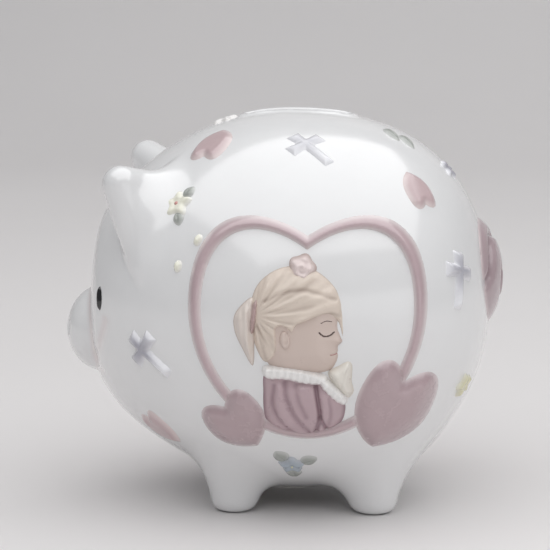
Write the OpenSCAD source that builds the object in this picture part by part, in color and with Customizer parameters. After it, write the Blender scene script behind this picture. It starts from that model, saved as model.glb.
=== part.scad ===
// Round ceramic piggy bank with a raised heart panel, applied flowers, and a soft stopper in the belly.
// The pig faces -X and stands on z = 0.  Its spine lies along X.

/* [Body] */
// Radius of the round body about its long axis
body_r = 69.4; // [66:0.2:72]
// Distance from the body's centre to the tip of the face plate
face_len = 72.7; // [71:0.1:76]
// Distance from the body's centre to the rump
rump_len = 73; // [71:0.5:76]
// Thickness of the ceramic wall
wall = 5; // [4:0.5:6]
// Gap between the belly and the table
belly_gap = 4.4; // [4:0.2:6]

/* [Coin slot] */
// Length of the slot along the spine
slot_length = 38; // [30:1:42]
// Width of the slot
slot_width = 5; // [4.6:0.2:6]
// Height of the raised lip around the slot
lip_rise = 0.9; // [0.6:0.1:1.4]

/* [Belly stopper] */
// Diameter of the hole in the belly
hole_d = 28; // [24:1:30]
// Radial play between the plug and the hole
plug_play = 0.05; // [0.03:0.01:0.1]
// Diameter of the stopper's flange
flange_d = 34; // [32:1:36]

/* [Relief] */
// Height of the heart frame above the body
frame_rise = 2; // [1.5:0.1:2.4]
// Height of the praying figure above the body
figure_rise = 2.2; // [1.6:0.1:2.4]
// Height of the small applied sprigs
sprig_rise = 1.2; // [0.8:0.1:1.6]

/* [Hidden] */

white = "#f1f1ef";
mauve = "#b79ca0";
lilac = "#c9c9da";
cream = "#e6ddcf";
butter = "#efecc8";
leaf_green = "#a9b5ab";

body_x = 2;                       // the body's centre along X
axis_z = belly_gap + body_r;      // height of the body's long axis
cheek_len = 78;                   // length of the cheek curve before the face plate cuts it
face_curve = 117;                 // radius of the gently domed face plate
profile_step = 5;                 // degrees between the points of the body's profile

// ---- The body's profile: radius r at distance t along the axis, grown by g ----

function superellipse(t, len, n, r) = r * pow(max(0, 1 - pow(abs(t) / len, n)), 1 / n);
function soft_min(a, b, k) = min(a, b) - pow(max(k - abs(a - b), 0), 2) / (4 * k);
function cheek_at(t, g) = superellipse(t, cheek_len + g, 1.9, body_r + g);
function plate_at(t, g) = sqrt(max(0, 2 * face_curve * (t + face_len + g)));
function radius_at(t, g = 0) = t > 0 ? superellipse(t, rump_len + g, 2.4, body_r + g)
  : soft_min(cheek_at(t, g), plate_at(t, g), 3);
function slope_at(t) = (radius_at(t + 0.2) - radius_at(t - 0.2)) / 0.4;
function half_profile(g) = concat(
  [for (a = [90:-profile_step:profile_step]) let (t = -(face_len + g) * sin(a)) [radius_at(t, g), t]],
  [for (a = [0:profile_step:90]) let (t = (rump_len + g) * sin(a)) [radius_at(t, g), t]]);

// Solid of the body's outer form, grown by g
module body_form(g = 0) {
  translate([body_x, 0, axis_z]) rotate([0, 90, 0]) rotate_extrude($fn = 96) polygon(half_profile(g));
}

// Puts children on the body at distance t along the axis and angle phi above the left side:
// local Z points out of the surface, local Y up around the body, and spin turns about local Z
module on_body(t, phi, spin = 0) {
  translate([body_x + t, 0, axis_z]) rotate([-phi, 0, 0]) translate([0, -radius_at(t), 0])
    rotate([90, 0, 0]) rotate([0, atan(-slope_at(t)), 0]) rotate([0, 0, spin]) children();
}

// A raised patch with the outline of its children, standing on the body's surface
module sprig(t, phi, spin, rise) {
  difference() {
    intersection() {
      on_body(t, phi, spin) translate([0, 0, -6]) linear_extrude(14) children();
      body_form(rise);
    }
    body_form();
  }
}

// A raised patch with an outline drawn on the left side plane: x along the body, y up from its axis
module side_relief(rise) {
  difference() {
    intersection() {
      translate([body_x, 0, axis_z]) rotate([90, 0, 0]) translate([0, 0, 20]) linear_extrude(80) children();
      body_form(rise);
    }
    body_form();
  }
}

module to_right_side() { mirror([0, 1, 0]) children(); }

// ---- Outlines ----

function bezier(a, b, c, d, n) = [for (i = [0:n - 1]) let (u = i / n)
  pow(1 - u, 3) * a + 3 * u * pow(1 - u, 2) * b + 3 * u * u * (1 - u) * c + pow(u, 3) * d];

// Heart of width w and height h, centred, with its tip at the bottom; cleft is the depth between the lobes,
// and point how sharp the tip is, from 0 for a round one
function heart_half(w, h, cleft, point, n) = let (top = h / 2, shoulder = [w / 2, h * 0.15]) concat(
  bezier([0, top - cleft], [w * 0.21, top + cleft * 0.57], [w * 0.48, top + cleft * 0.44], shoulder, n),
  bezier(shoulder, [w * 0.52, -h * 0.2], [w * 0.275, (point - 0.5) * h], [0, -top], n));
module heart(w, h, cleft, point = 0.12, n = 7) {
  half = heart_half(w, h, cleft, point, n);
  polygon(concat(half, [[0, -h / 2]], [for (i = [len(half) - 1:-1:1]) [-half[i][0], half[i][1]]]));
}

// Smooth closed outline through hand-placed points
function loop_point(p, i, u) = let (
  n = len(p), a = p[(i + n - 1) % n], b = p[i], c = p[(i + 1) % n], d = p[(i + 2) % n])
  0.5 * (2 * b + (c - a) * u + (2 * a - 5 * b + 4 * c - d) * u * u + (3 * b - a - 3 * c + d) * u * u * u);
module smooth_outline(points, steps = 4) {
  polygon([for (i = [0:len(points) - 1]) for (s = [0:steps - 1]) loop_point(points, i, s / steps)]);
}

module ellipse_outline(w, h, n = 24) {
  polygon([for (i = [0:n - 1]) [w / 2 * cos(i * 360 / n), h / 2 * sin(i * 360 / n)]]);
}

// ---- Body and its luted parts ----

bore_top = belly_gap + wall + 6;
seat_z = belly_gap + 3.6;         // flat ring in the belly that the flange closes against
slot_x = body_x + 3;              // centre of the coin slot along X

module slot_outline(grow) {
  straight = slot_length - slot_width;
  for (s = [-1, 1]) translate([slot_x + s * straight / 2, 0]) circle(d = slot_width + 2 * grow, $fn = 48);
  translate([slot_x - straight / 2, -slot_width / 2 - grow]) square([straight, slot_width + 2 * grow]);
}

module body_shell() {
  color(white) difference() {
    body_form();
    body_form(-wall);
    translate([0, 0, axis_z + body_r - 2 * wall]) linear_extrude(3 * wall) slot_outline(0);
    translate([body_x, 0, -1]) cylinder(d = hole_d, h = bore_top + 1, $fn = 96);
    translate([body_x, 0, -1]) cylinder(d = flange_d + 2, h = seat_z + 1, $fn = 96);
  }
}

// Raised rim around the coin slot
module coin_slot_lip() {
  color(white) difference() {
    intersection() {
      body_form(lip_rise);
      translate([0, 0, axis_z + body_r - 2 * wall]) linear_extrude(3 * wall) difference() {
        slot_outline(2.5);
        slot_outline(0);
      }
    }
    body_form();
  }
}

snout_drop = 11.8;
snout_r = 15.8;
snout_tip = 82;                   // from the body's centre to the end of the snout
snout_depth = 13;

module snout() {
  dome = [for (a = [0:6:90]) [snout_r * pow(sin(a), 0.95), snout_depth * cos(a)]];
  color(white) difference() {
    translate([body_x - snout_tip + snout_depth, 0, axis_z - snout_drop]) rotate([0, -90, 0])
      rotate_extrude($fn = 64) polygon(concat([[0, -6]], dome, [[snout_r, -6]]));
    for (side = [-1, 1])
      translate([body_x - snout_tip - 1, side * 5.2, axis_z - snout_drop + 1]) rotate([0, 90, 0])
        cylinder(d = 3.6, h = 4, $fn = 24);
    body_form();
  }
}

ear_tip = [-57.5, -42, 47];       // centre of the ear's round tip, from the body's centre
ear_back = [-43, -25, 43];        // where the ear's top edge sinks into the head
ear_front = [-49, -40, 21];       // where its lower edge sinks into the cheek
ear_belly = [-49, -36, 36];       // middle of the ear's rounded back

module ear_ball(at, r) { translate([body_x, 0, axis_z] + at) sphere(r = r, $fn = 32); }

module ear() {
  color(white) difference() {
    hull() {
      ear_ball(ear_tip, 6.2);
      ear_ball(ear_back, 7.5);
      ear_ball(ear_front, 6.5);
      ear_ball(ear_belly, 9);
    }
    ear_ball([-72, -33, 33], 14);   // hollow of the folded front
    body_form();
  }
}

module eye() { color("#26262a") sprig(-65.9, 8, 0, 0.7) ellipse_outline(3.4, 8.6); }

leg_y = 26;
front_leg_x = -18.4;
rear_leg_x = 32;

module leg(x) {
  sole_round = [for (a = [0:15:90]) [5.5 + 2.5 * sin(a), 2.5 - 2.5 * cos(a)]];
  flare = [for (z = [5:3:26]) [8 + 0.2 * (z - 2.5) + 0.006 * z * z, z]];
  color(white) difference() {
    translate([body_x + x, -leg_y, 0]) rotate_extrude($fn = 64)
      polygon(concat([[0, 0]], sole_round, flare, [[0, 26]]));
    body_form();
  }
}

tail_r = 4.6;                     // half the thickness of the tail
tail_turns = [15.9, 11.2, 6.5];   // radii of the half turns, from the outside in
tail_up = 8.5;                    // height of the curl's middle above the axis

// Each half turn starts where the one before it ends, so the centres step up and down by the change in radius
function turn_centre(i) = i == 0 ? 0
  : turn_centre(i - 1) + (i % 2 == 1 ? -1 : 1) * (tail_turns[i - 1] - tail_turns[i]);

module curled_tail() {
  color(mauve) difference() {
    translate([body_x + rump_len + 0.4, 0, axis_z + tail_up]) rotate([90, 0, 90]) {
      for (i = [0:len(tail_turns) - 1])
        translate([0, turn_centre(i), 0]) rotate([0, 0, i % 2 == 0 ? 90 : -90])
          rotate_extrude(angle = 180, $fn = 48) translate([tail_turns[i], 0]) circle(r = tail_r, $fn = 24);
      translate([0, tail_turns[0], 0]) sphere(r = tail_r, $fn = 24);
      translate([0, -tail_turns[2], 0]) sphere(r = tail_r, $fn = 24);
    }
    body_form();
  }
}

// ---- Stopper: a hollow soft plug with a flange and a finger tab ----

flange_t = 2;
plug_height = 6.5;
flange_gap = 0.05;

module belly_stopper() {
  plug_r = hole_d / 2 - plug_play;
  flange_top = seat_z - flange_gap;
  color("#e9e6e1") translate([body_x, 0, 0]) {
    difference() {
      union() {
        translate([0, 0, flange_top - flange_t]) cylinder(d = flange_d, h = flange_t, $fn = 96);
        translate([0, 0, flange_top - 1]) cylinder(r = plug_r, h = plug_height + 1, $fn = 96);
      }
      translate([0, 0, flange_top]) cylinder(r = plug_r - 2, h = plug_height + 1, $fn = 96);
    }
    translate([-7, -1.2, flange_top - flange_t - 2.6]) cube([14, 2.4, 3]);
  }
}

// ---- Heart frame on each side ----

panel_w = 78;                     // along the middle of the band
panel_h = 75;
band_width = 4.6;

module panel_heart(grow) {
  translate([10, -0.8]) heart(panel_w + grow, panel_h + grow, 7, 0, 10);
}
module small_heart_outline() { translate([-14.4, -34.8]) rotate(36) heart(22.2, 22.5, 3.5); }
module large_heart_outline() { translate([39.1, -29.8]) rotate(-24.5) heart(26.5, 34.2, 5.4, 0.09); }

module heart_band() {
  difference() {
    panel_heart(band_width);
    panel_heart(-band_width);
  }
}

// The band stops where the two hearts lie over it
module frame_outline() {
  difference() {
    heart_band();
    small_heart_outline();
    large_heart_outline();
  }
}

module heart_frame() { color(mauve) side_relief(frame_rise) frame_outline(); }

module left_heart_frame() {
  color(mauve) side_relief(frame_rise) difference() {
    frame_outline();
    dress_outline();
    rose_outline();
  }
}

module small_heart() { color(mauve) side_relief(2.2) small_heart_outline(); }
module large_heart() { color(mauve) side_relief(2.4) large_heart_outline(); }

// ---- Praying figure, facing +X, a sprig-moulded relief inside the left frame ----

module head_outline() {
  smooth_outline([[-9, 6], [-6, 16], [3, 21.5], [12, 20.5], [19, 14.5], [21, 7], [21.2, 1], [22.4, -3],
    [20.8, -6], [20.6, -10], [17.5, -14], [8, -15.5], [-1, -13.5], [-6, -6]]);
}
module hair_outline() {
  smooth_outline([[-9.6, 5], [-7, 15.5], [1, 21.5], [11, 21.5], [19, 16], [22.6, 8], [22.6, -2], [20.8, 3.5],
    [16, 5], [8, 2], [5.5, -1], [1, 1], [1, -7], [-4, -11], [-7.6, -5]]);
}
module ponytail_outline() {
  smooth_outline([[-9.5, 11.5], [-8, 5], [-8.2, -4], [-8.4, -12.4], [-12, -6.5], [-14.8, 0], [-14.4, 6]]);
}
module band_outline() { translate([-7.9, 5.2]) rotate(-8) ellipse_outline(3, 13.5); }
module rose_outline() {
  translate([8.4, 21.4]) polygon([for (a = [0:10:350]) (4.9 + 0.35 * cos(5 * a)) * [cos(a), sin(a)]]);
}
module ear_outline() { translate([2.9, -2.6]) rotate(8) ellipse_outline(3.6, 6.4); }
module collar_outline() {
  smooth_outline([[-4.2, -12.4], [3, -12.4], [10, -13.6], [16.6, -16], [16.2, -19], [10, -19], [3, -17.4],
    [-3, -17.2], [-5, -14.8]]);
}
module dress_outline() {
  smooth_outline([[-3.5, -14.5], [8, -16.5], [15.5, -17.5], [22.5, -23], [22.6, -32], [17, -38], [9, -40.2],
    [1, -38], [-4.4, -32.5], [-5, -22]]);
}
module cuff_outline() {
  smooth_outline([[15, -16.2], [18.8, -17.8], [24, -23.4], [23.2, -27], [19.2, -25.4], [14.6, -20]]);
}
module hands_outline() {
  smooth_outline([[17.6, -14.6], [21, -12.4], [24.4, -10.8], [25.8, -12.4], [25.6, -18], [26.2, -22],
    [23.8, -24.2], [19.6, -19.8]]);
}

// Each piece stops where the piece lying over it begins
module girl_face() {
  color(cream) side_relief(figure_rise - 0.2) difference() {
    head_outline();
    hair_outline();
    ear_outline();
    rose_outline();
    collar_outline();
    hands_outline();
    band_outline();
    dress_outline();
    ponytail_outline();
  }
}
module girl_hair() {
  color(cream) side_relief(figure_rise) difference() {
    hair_outline();
    rose_outline();
    ear_outline();
    band_outline();
    ponytail_outline();
  }
}
module girl_ponytail() {
  color(cream) side_relief(figure_rise - 0.2) difference() {
    ponytail_outline();
    band_outline();
  }
}
module girl_ponytail_band() { color(mauve) side_relief(figure_rise) band_outline(); }
module girl_hair_rose() { color(mauve) side_relief(figure_rise) rose_outline(); }
module girl_ear() { color(cream) side_relief(figure_rise) ear_outline(); }
module girl_collar() {
  color(white) side_relief(figure_rise) difference() {
    collar_outline();
    cuff_outline();
    hands_outline();
  }
}
module girl_dress() {
  color(mauve) side_relief(figure_rise - 0.2) difference() {
    dress_outline();
    collar_outline();
    cuff_outline();
    hands_outline();
  }
}
module girl_cuff() { color(white) side_relief(figure_rise) difference() { cuff_outline(); hands_outline(); } }
module girl_hands() { color(cream) side_relief(figure_rise - 0.2) hands_outline(); }

// ---- Scattered sprigs, placed by distance along the body and angle around it ----

module cross_outline() {
  arm = 4.2;
  flare = arm * 0.67;             // half the width that the short arms widen to
  tip = 0.6;                      // length of the point at each arm's end
  short_arm = 7.2;
  long_arm = 13.4;
  for (a = [90, 180, 0])
    rotate(a) polygon([[-1, -arm / 2], [short_arm - tip, -flare], [short_arm, 0], [short_arm - tip, flare],
      [-1, arm / 2]]);
  rotate(-90) polygon([[-1, -arm / 2], [long_arm - tip, -arm / 2], [long_arm, 0], [long_arm - tip, arm / 2],
    [-1, arm / 2]]);
}
module petals_outline(count, r) {
  polygon([for (a = [0:8:352]) r * (0.86 + 0.14 * cos(count * a)) * [cos(a), sin(a)]]);
}
module leaf_outline(length, width) {
  polygon(concat(bezier([0, 0], [length * 0.3, width * 0.7], [length * 0.7, width * 0.6], [length, 0], 6),
    bezier([length, 0], [length * 0.7, -width * 0.6], [length * 0.3, -width * 0.7], [0, 0], 6)));
}

module brow_heart() { color(mauve) sprig(-25.6, 67, 155, sprig_rise) heart(14.6, 19, 2); }
module rump_heart() { color(mauve) sprig(47.3, 51.5, 215, sprig_rise) heart(12.5, 16, 1.6); }
module chest_heart() { color(mauve) sprig(-43.8, -48.5, 60, sprig_rise) heart(13.5, 17, 2); }
module spine_cross() { color(lilac) sprig(7.6, 61, 43, sprig_rise) cross_outline(); }
module cheek_cross() { color(lilac) sprig(-48.3, -11, 58, sprig_rise) cross_outline(); }
module flank_cross() { color(lilac) sprig(62, 23, 4, sprig_rise) cross_outline(); }

ear_flower_at = [-36.5, 41.8];    // distance along the body, and angle around it
ear_flower_leaf_turns = [124, 45, -84];
belly_flower_at = [3.8, -48.5];
belly_flower_leaf_turns = [124, 25, -87];
flower_r = 5;
leaf_start = 3.8;                 // distance of a leaf's base from its flower's middle

// Leaf that stops just short of the petals
module flower_leaf(length, width) {
  difference() {
    translate([leaf_start, 0]) leaf_outline(length, width);
    circle(r = flower_r + 0.1, $fn = 32);
  }
}

module ear_flower() {
  color(butter) sprig(ear_flower_at[0], ear_flower_at[1], 10, sprig_rise + 0.3) petals_outline(5, flower_r);
}
module ear_flower_leaves() {
  color(leaf_green) for (turn = ear_flower_leaf_turns)
    sprig(ear_flower_at[0], ear_flower_at[1], turn, sprig_rise) flower_leaf(5.6, 4.2);
}
module buds() {
  color(butter) {
    sprig(-28.3, 27.5, 70, sprig_rise) ellipse_outline(4.6, 3.4);
    sprig(-35.3, 19.5, 80, sprig_rise) ellipse_outline(4.4, 3.2);
  }
}
module belly_flower() {
  color("#dfe4ea") sprig(belly_flower_at[0], belly_flower_at[1], 18, sprig_rise + 0.3)
    petals_outline(5, flower_r);
}
module belly_flower_leaves() {
  color(leaf_green) for (turn = belly_flower_leaf_turns)
    sprig(belly_flower_at[0], belly_flower_at[1], turn, sprig_rise) flower_leaf(6.2, 5.6);
}
module hip_flower() { color(butter) sprig(64.5, -41.5, 0, sprig_rise) petals_outline(5, flower_r); }
module back_leaves() {
  color(leaf_green) for (dx = [0, 5.5])
    sprig(36.8 + dx, 79, -48, sprig_rise) translate([-4, 0]) leaf_outline(9.5, 4);
}
module back_blossom() { color(lilac) sprig(57.5, 83, 0, sprig_rise) petals_outline(5, 4.4); }
module brow_blossom() { color(white) sprig(-24, 92, 0, sprig_rise) petals_outline(5, flower_r); }

// ---- Which node is drawn ----

body_shell();
coin_slot_lip();
snout();
ear();  // left_ear
to_right_side() ear();  // right_ear
eye();  // left_eye
to_right_side() eye();  // right_eye
leg(front_leg_x);  // front_left_leg
to_right_side() leg(front_leg_x);  // front_right_leg
leg(rear_leg_x);  // rear_left_leg
to_right_side() leg(rear_leg_x);  // rear_right_leg
curled_tail();
belly_stopper();
left_heart_frame();
small_heart();  // left_small_heart
large_heart();  // left_large_heart
girl_face();
girl_hair();
girl_ponytail();
girl_ponytail_band();
girl_hair_rose();
girl_ear();
girl_collar();
girl_dress();
girl_cuff();
girl_hands();
brow_heart();  // left_brow_heart
rump_heart();  // left_rump_heart
chest_heart();  // left_chest_heart
spine_cross();  // left_spine_cross
cheek_cross();  // left_cheek_cross
flank_cross();  // left_flank_cross
ear_flower();  // left_ear_flower
ear_flower_leaves();  // left_ear_flower_leaves
buds();  // left_buds
belly_flower();  // left_belly_flower
belly_flower_leaves();  // left_belly_flower_leaves
hip_flower();  // left_hip_flower
to_right_side() heart_frame();  // right_heart_frame
to_right_side() small_heart();  // right_small_heart
to_right_side() large_heart();  // right_large_heart
to_right_side() brow_heart();  // right_brow_heart
to_right_side() rump_heart();  // right_rump_heart
to_right_side() chest_heart();  // right_chest_heart
to_right_side() spine_cross();  // right_spine_cross
to_right_side() cheek_cross();  // right_cheek_cross
to_right_side() flank_cross();  // right_flank_cross
to_right_side() ear_flower();  // right_ear_flower
to_right_side() ear_flower_leaves();  // right_ear_flower_leaves
to_right_side() buds();  // right_buds
to_right_side() belly_flower();  // right_belly_flower
to_right_side() belly_flower_leaves();  // right_belly_flower_leaves
to_right_side() hip_flower();  // right_hip_flower
back_leaves();
back_blossom();
brow_blossom();
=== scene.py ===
"""Looks of the round porcelain piggy bank: glazed skin, sprigged relief, stopper, floor, light and camera.

Shapes are worked out in millimetres from the middle of the pig's body: t along the spine towards the tail,
y towards the pig's right side, v up from the body's axis. They become metres in the CAD frame when a mesh
is made.
"""
import math
from itertools import product

import bpy
import numpy as np
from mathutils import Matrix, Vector


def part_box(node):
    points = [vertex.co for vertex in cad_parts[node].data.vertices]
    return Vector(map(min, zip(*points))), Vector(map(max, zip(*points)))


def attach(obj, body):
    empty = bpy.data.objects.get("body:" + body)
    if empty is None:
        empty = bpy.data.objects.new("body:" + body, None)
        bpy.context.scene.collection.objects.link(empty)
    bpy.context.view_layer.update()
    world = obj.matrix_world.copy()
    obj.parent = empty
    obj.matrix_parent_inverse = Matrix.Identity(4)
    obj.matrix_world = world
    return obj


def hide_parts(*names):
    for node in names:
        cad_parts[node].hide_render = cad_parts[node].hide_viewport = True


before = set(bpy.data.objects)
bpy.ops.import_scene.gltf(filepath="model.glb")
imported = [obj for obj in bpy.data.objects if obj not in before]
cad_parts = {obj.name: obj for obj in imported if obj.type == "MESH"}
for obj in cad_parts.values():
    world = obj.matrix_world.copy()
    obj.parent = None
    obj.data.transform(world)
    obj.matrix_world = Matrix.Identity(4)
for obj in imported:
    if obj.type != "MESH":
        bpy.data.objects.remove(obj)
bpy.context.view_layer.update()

MM = 0.001
BODY = "bank"
DETAIL = 1.0  # grid steps grow by this much while working

# ---- Driving sizes, from the frame ----

shell_lo, shell_hi = (np.array(corner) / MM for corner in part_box("body_shell"))
BODY_R = (shell_hi[1] - shell_lo[1]) / 2
BODY_LEN = shell_hi[0] - shell_lo[0]
FACE_SHARE = 0.499  # the face plate stands a little nearer the middle than the rump
FACE_LEN = BODY_LEN * FACE_SHARE
RUMP_LEN = BODY_LEN - FACE_LEN
CENTRE = np.array([shell_lo[0] + FACE_LEN, 0.0, shell_hi[2] - BODY_R])
FLOOR = -CENTRE[2]  # height of the table, from the body's axis
WALL = 5.0  # thickness of the porcelain
CHEEK_LEN = 78.0  # where the cheek's curve would end without the face plate
CHEEK_POWER = 1.9  # 2 is an ellipse, and more is a fuller curve
RUMP_POWER = 2.4
FACE_CURVE = 117.0  # radius of the domed face plate
PLATE_ROUND = 3.0  # rounding between the face plate and the cheek
TUCK_DEPTH = 1.8  # how much slimmer the chest and rump are low down


# ---- Number kit ----

def smooth_min(a, b, k):
    """The smaller of two fields, with a fillet of size k where they meet."""
    h = np.maximum(k - np.abs(a - b), 0) / k
    return np.minimum(a, b) - h * h * k / 4


def smooth_max(a, b, k):
    """The larger of two fields, with a rounding of size k where they meet."""
    return -smooth_min(-a, -b, k)


def ease(x, lo, hi):
    """0 at lo, 1 at hi, and a soft step between them."""
    x = np.clip((x - lo) / (hi - lo), 0, 1)
    return x * x * (3 - 2 * x)


def length(p):
    return np.sqrt((p * p).sum(-1))


def heading(turn):
    """Cosine and sine of an angle in degrees."""
    return math.cos(math.radians(turn)), math.sin(math.radians(turn))


class Table:
    """Values on an even 2-D grid, read by bilinear interpolation."""

    def __init__(self, lo, hi, step, rule):
        self.lo, self.step = np.array(lo, float), step
        self.n = np.ceil((np.array(hi) - self.lo) / step).astype(int) + 1
        a = self.lo[0] + step * np.arange(self.n[0])
        b = self.lo[1] + step * np.arange(self.n[1])
        self.values = rule(*np.meshgrid(a, b, indexing="ij"))

    def __call__(self, a, b):
        x = np.clip((a - self.lo[0]) / self.step, 0, self.n[0] - 1.001)
        y = np.clip((b - self.lo[1]) / self.step, 0, self.n[1] - 1.001)
        i, j = x.astype(int), y.astype(int)
        x, y = x - i, y - j
        g = self.values
        return ((g[i, j] * (1 - x) + g[i + 1, j] * x) * (1 - y)
                + (g[i, j + 1] * (1 - x) + g[i + 1, j + 1] * x) * y)


def spline(a, b, c, d, steps):
    """Points from b towards c on the smooth curves through the rows of a, b, c and d."""
    a, b, c, d = (points[:, None] for points in (a, b, c, d))
    u = (np.arange(steps) / steps)[None, :, None]
    square = 2 * a - 5 * b + 4 * c - d
    cube = 3 * b - a - 3 * c + d
    return (0.5 * (2 * b + (c - a) * u + square * u ** 2 + cube * u ** 3)).reshape(-1, 2)


def smooth_path(points):
    """Smooth open curve through given points."""
    p = np.array(points, float)
    p = np.concatenate([[2 * p[0] - p[1]], p, [2 * p[-1] - p[-2]]])
    return np.concatenate([spline(p[:-3], p[1:-2], p[2:-1], p[3:], 6), p[-2:-1]])


def smooth_loop(points):
    """Smooth closed curve through given points."""
    p = np.array(points, float)
    return spline(np.roll(p, 1, 0), p, np.roll(p, -1, 0), np.roll(p, -2, 0), 8)


def path_distance(a, b, path, closed=False):
    """Distance to a 2-D path, and whether each point is inside it when it is closed."""
    path = np.asarray(path, float)
    ends = np.roll(path, -1, axis=0)
    if not closed:
        path, ends = path[:-1], ends[:-1]
    best = np.full(a.shape, 1e9)
    inside = np.zeros(a.shape, bool)
    for (x0, y0), (x1, y1) in zip(path, ends):
        dx, dy = x1 - x0, y1 - y0
        along = np.clip(((a - x0) * dx + (b - y0) * dy) / (dx * dx + dy * dy + 1e-12), 0, 1)
        best = np.minimum(best, (a - x0 - along * dx) ** 2 + (b - y0 - along * dy) ** 2)
        if closed and y0 != y1:
            crosses = (y0 > b) != (y1 > b)
            inside ^= crosses & (a < dx * (b - y0) / dy + x0)
    return np.sqrt(best), inside


def depth_inside(a, b, outline):
    """Distance to a closed outline, positive inside it."""
    distance, inside = path_distance(a, b, outline, closed=True)
    return np.where(inside, distance, -distance)


# ---- Meshes from fields ----

CORNERS = np.array(list(product((0, 1), repeat=3)))
EDGES = [(a, b) for a in range(8) for b in range(a + 1, 8) if np.abs(CORNERS[a] - CORNERS[b]).sum() == 1]


def field_on_grid(field, axes):
    """The field's values on a 3-D grid, worked out one slab at a time."""
    slabs = []
    for x in np.array_split(axes[0], max(1, len(axes[0]) // 12)):
        grid = np.stack(np.meshgrid(x, axes[1], axes[2], indexing="ij"), -1)
        slabs.append(field(grid.reshape(-1, 3)).reshape(grid.shape[:3]))
    return np.concatenate(slabs)


def pull_onto(field, points, reach, rounds=3):
    """Moves points onto the surface where the field is zero, by at most reach each round."""
    h = 0.05  # distance over which the field's slope is measured
    for _ in range(rounds):
        value = field(points)
        slope = np.stack([(field(points + h * axis) - value) / h for axis in np.eye(3)], -1)
        move = -value[:, None] * slope / np.maximum((slope ** 2).sum(-1), 0.2)[:, None]
        size = length(move)[:, None]
        points = points + move * np.minimum(1, reach / np.maximum(size, 1e-9))
    return points


def surface_net(field, lo, hi, step):
    """Closed quad mesh of the surface where the field is zero: its points and faces."""
    axes = [np.arange(a, b + step, step) for a, b in zip(lo, hi)]
    values = field_on_grid(field, axes)
    inside = values < 0
    cells = tuple(n - 1 for n in values.shape)
    windows = [tuple(slice(c, c + n) for c, n in zip(corner, cells)) for corner in CORNERS]
    count = sum(inside[window].astype(np.int8) for window in windows)
    active = (count > 0) & (count < 8)
    cell = np.argwhere(active)
    index = np.full(cells, -1)
    index[active] = np.arange(len(cell))
    corner_values = np.stack([values[tuple((cell + corner).T)] for corner in CORNERS], 1)
    total = np.zeros((len(cell), 3))
    hits = np.zeros(len(cell))
    for a, b in EDGES:
        va, vb = corner_values[:, a], corner_values[:, b]
        cut = (va < 0) != (vb < 0)
        share = np.where(cut, va / np.where(cut, va - vb, 1), 0)
        total += cut[:, None] * (CORNERS[a] + share[:, None] * (CORNERS[b] - CORNERS[a]))
        hits += cut
    points = np.array(lo, float) + step * (cell + total / hits[:, None])
    faces = []
    for axis in range(3):
        u, w = (axis + 1) % 3, (axis + 2) % 3
        here, ahead = (inside[tuple(slice(first, n - 1 + first) if i == axis else slice(1, n - 1)
                                    for i, n in enumerate(inside.shape))] for first in (0, 1))
        base = np.argwhere(here != ahead) + [0 if i == axis else 1 for i in range(3)]
        step_u, step_w = np.eye(3, dtype=int)[u], np.eye(3, dtype=int)[w]
        quad = np.stack([index[tuple((base - back).T)] for back in
                         (step_u + step_w, step_w, 0 * step_u, step_u)], 1)
        flip = ~inside[tuple(base.T)]
        quad[flip] = quad[flip][:, ::-1]
        faces.append(quad)
    return points, np.concatenate(faces)


def add_object(name, data):
    thing = bpy.data.objects.new(name, data)
    bpy.context.scene.collection.objects.link(thing)
    return thing


def add_mesh(name, points, faces, material):
    """Smooth-shaded object from points in metres."""
    mesh = bpy.data.meshes.new(name)
    mesh.from_pydata(points, [], faces)
    mesh.polygons.foreach_set("use_smooth", np.ones(len(faces), bool))
    mesh.materials.append(material)
    mesh.update()
    return add_object(name, mesh)


def make_mesh(name, points, faces, material, masks=None):
    """Blender object from points in mm from the body's middle; masks become per-point float attributes."""
    piece = add_mesh(name, ((points + CENTRE) * MM).tolist(), faces.tolist(), material)
    for mask, values in (masks or {}).items():
        layer = piece.data.attributes.new(mask, "FLOAT", "POINT")
        layer.data.foreach_set("value", values.astype(np.float32))
    return piece


# ---- The body's form ----

def profile_radius(t):
    """Radius of the body at distance t along its axis: domed face plate, round cheek, fuller rump."""
    rump = BODY_R * np.clip(1 - (np.abs(t) / RUMP_LEN) ** RUMP_POWER, 0, None) ** (1 / RUMP_POWER)
    cheek = BODY_R * np.clip(1 - (np.abs(t) / CHEEK_LEN) ** CHEEK_POWER, 0, None) ** (1 / CHEEK_POWER)
    plate = np.sqrt(np.clip(2 * FACE_CURVE * (t + FACE_LEN), 0, None))
    return np.where(t > 0, rump, smooth_min(cheek, plate, PLATE_ROUND))


def body_profile():
    """Half outline of the turned body, from the face plate's middle over the back to the rump's."""
    angle = np.radians(np.linspace(-90, 90, 361))
    t = np.where(angle < 0, FACE_LEN, RUMP_LEN) * np.sin(angle)
    return np.stack([t, profile_radius(t)], 1)


def profile_depth(t, r):
    """Distance to the turned body, negative inside it."""
    distance, _ = path_distance(t, r, body_profile())
    inside = (r < profile_radius(t)) & (t > -FACE_LEN) & (t < RUMP_LEN)
    return np.where(inside, -distance, distance)


body_table = Table((-95, 0), (95, 96), 0.5, profile_depth)


def tuck(p):
    """How much slimmer than a turned form the body is, low on the chest and low on the rump."""
    chest = ease(-p[:, 0], 22, 38) * ease(-p[:, 2], 36, 56)
    rump = ease(p[:, 0], 48, 62) * ease(-p[:, 2], 8, 42)
    return TUCK_DEPTH * np.maximum(chest, rump)


def body_distance(p):
    """Distance to the body, negative inside it."""
    return body_table(p[:, 0], np.hypot(p[:, 1], p[:, 2])) + tuck(p)


def mirrored(p):
    """The same points folded onto the left side, for what both sides have."""
    return np.stack([p[:, 0], -np.abs(p[:, 1]), p[:, 2]], -1)


def ball_distance(p, centre, radii):
    """Distance to an ellipsoid, close to true near its surface."""
    q = (p - centre) / radii
    near = length(q)
    return near * (near - 1) / np.maximum(length(q / radii), 1e-6)


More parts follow.
